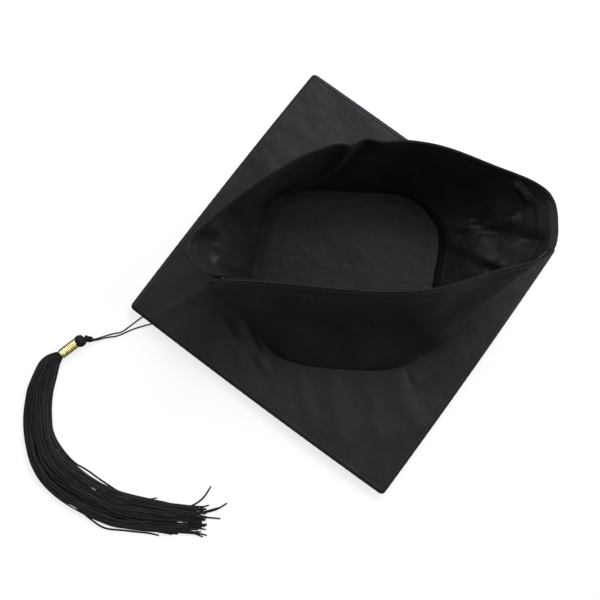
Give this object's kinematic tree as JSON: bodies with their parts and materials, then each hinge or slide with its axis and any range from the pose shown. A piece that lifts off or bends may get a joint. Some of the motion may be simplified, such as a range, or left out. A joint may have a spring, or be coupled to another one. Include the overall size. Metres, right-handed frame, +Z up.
{
  "type": "graduation cap",
  "caption": "Square cloth-covered board with a soft skullcap sewn to it, elastic at the back, and a tassel on a corded loop round the button.",
  "frame": {"origin": "on the button's axis, at the table that the button's flat face rests on, with the cap upside down", "axes": "+Z up out of the skullcap's opening, -Y to the wearer's forehead, +X to the wearer's right, so the board's corners lie on the X and Y axes"},
  "size_m": [0.3443, 0.4297, 0.087],
  "materials": {
    "cap_cloth": "black satin-faced polyester, fine twill weave",
    "board_stiffener": "grey-brown pressed board",
    "sewing_thread": "black spun thread",
    "seam_tape": "black woven tape",
    "elastic": "off-white braided elastic",
    "button_plate": "moulded, matte",
    "rivet_metal": "plated steel",
    "tassel_thread": "black twisted rayon cord",
    "collar_gold": "bright gold-coloured, ribbed"
  },
  "bodies": {
    "cap": {"board_core": "board_stiffener", "board_cover_top": "cap_cloth", "board_cover_underside": "cap_cloth", "board_edge_seam": "sewing_thread", "crown_disc": "cap_cloth", "crown_seam_tape": "seam_tape", "right_panel": "cap_cloth", "left_panel": "cap_cloth", "back_panel": "cap_cloth", "right_rim_facing": "cap_cloth", "left_rim_facing": "cap_cloth", "back_casing": "cap_cloth", "back_elastic": "elastic", "front_bartack": "sewing_thread", "button_cover": "cap_cloth", "button_former": "button_plate", "button_post": "rivet_metal", "button_washer": "rivet_metal"},
    "tassel_cord": {"tassel_loop": "tassel_thread"},
    "tassel": {"tassel_knot": "tassel_thread", "tassel_head": "tassel_thread", "tassel_binding": "tassel_thread", "tassel_collar": "collar_gold", "tassel_skirt": "tassel_thread"}
  },
  "joints": [
    {"name": "tassel_turn", "type": "hinge", "parent": "cap", "child": "tassel_cord", "pos_m": [0, 0, 0.004], "axis": [0, 0, 1], "continuous": true},
    {"name": "tassel_swing", "type": "hinge", "parent": "tassel_cord", "child": "tassel", "pos_m": [0.0197, -0.2036, 0.0026], "axis": [0, 0, 1], "range_deg": [-60, 5]}
  ]
}
